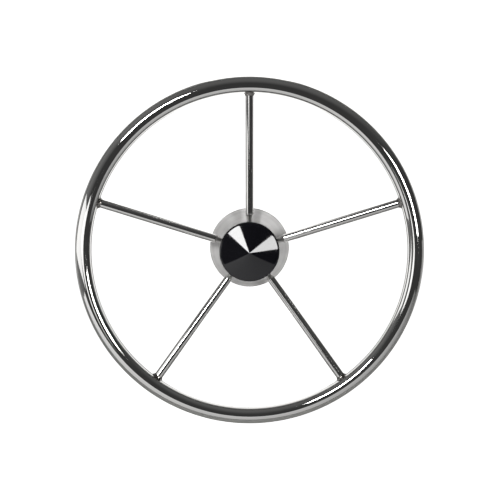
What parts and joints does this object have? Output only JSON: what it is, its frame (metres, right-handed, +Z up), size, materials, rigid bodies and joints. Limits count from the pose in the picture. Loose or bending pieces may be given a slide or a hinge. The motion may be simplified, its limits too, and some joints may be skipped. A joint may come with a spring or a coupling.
{
  "type": "stainless boat steering wheel",
  "caption": "Round tube steering wheel for a boat's helm, with straight bar spokes welded to a turned hub that fits a tapered shaft, and a conical black cap over the shaft nut.",
  "frame": {"origin": "centre of the tapered shaft bore's mouth, in the plane of the hub's back face", "axes": "+Y along the shaft towards the helm, -Y towards the helmsman, +Z up along the top spoke, +X to the helmsman's right"},
  "size_m": [0.394, 0.0607, 0.394],
  "materials": {
    "polished_stainless": "mirror polished stainless",
    "weld_metal": "dressed weld bead",
    "turned_stainless": "fine turned",
    "fastener_stainless": "satin",
    "black_moulding": "gloss black moulding"
  },
  "bodies": {
    "wheel": {"rim_tube": "polished_stainless", "hub": "turned_stainless", "shaft_washer": "fastener_stainless", "shaft_nut": "fastener_stainless", "spoke_1": "polished_stainless", "spoke_2": "polished_stainless", "spoke_3": "polished_stainless", "spoke_4": "polished_stainless", "spoke_5": "polished_stainless", "rim_weld_1": "weld_metal", "rim_weld_2": "weld_metal", "rim_weld_3": "weld_metal", "rim_weld_4": "weld_metal", "rim_weld_5": "weld_metal", "hub_weld_1": "weld_metal", "hub_weld_2": "weld_metal", "hub_weld_3": "weld_metal", "hub_weld_4": "weld_metal", "hub_weld_5": "weld_metal"},
    "cap": {"hub_cap": "black_moulding"}
  },
  "joints": [
    {"name": "cap_pull", "type": "slide", "parent": "wheel", "child": "cap", "axis": [0, -1, 0], "range_m": [0, 0.03]}
  ]
}
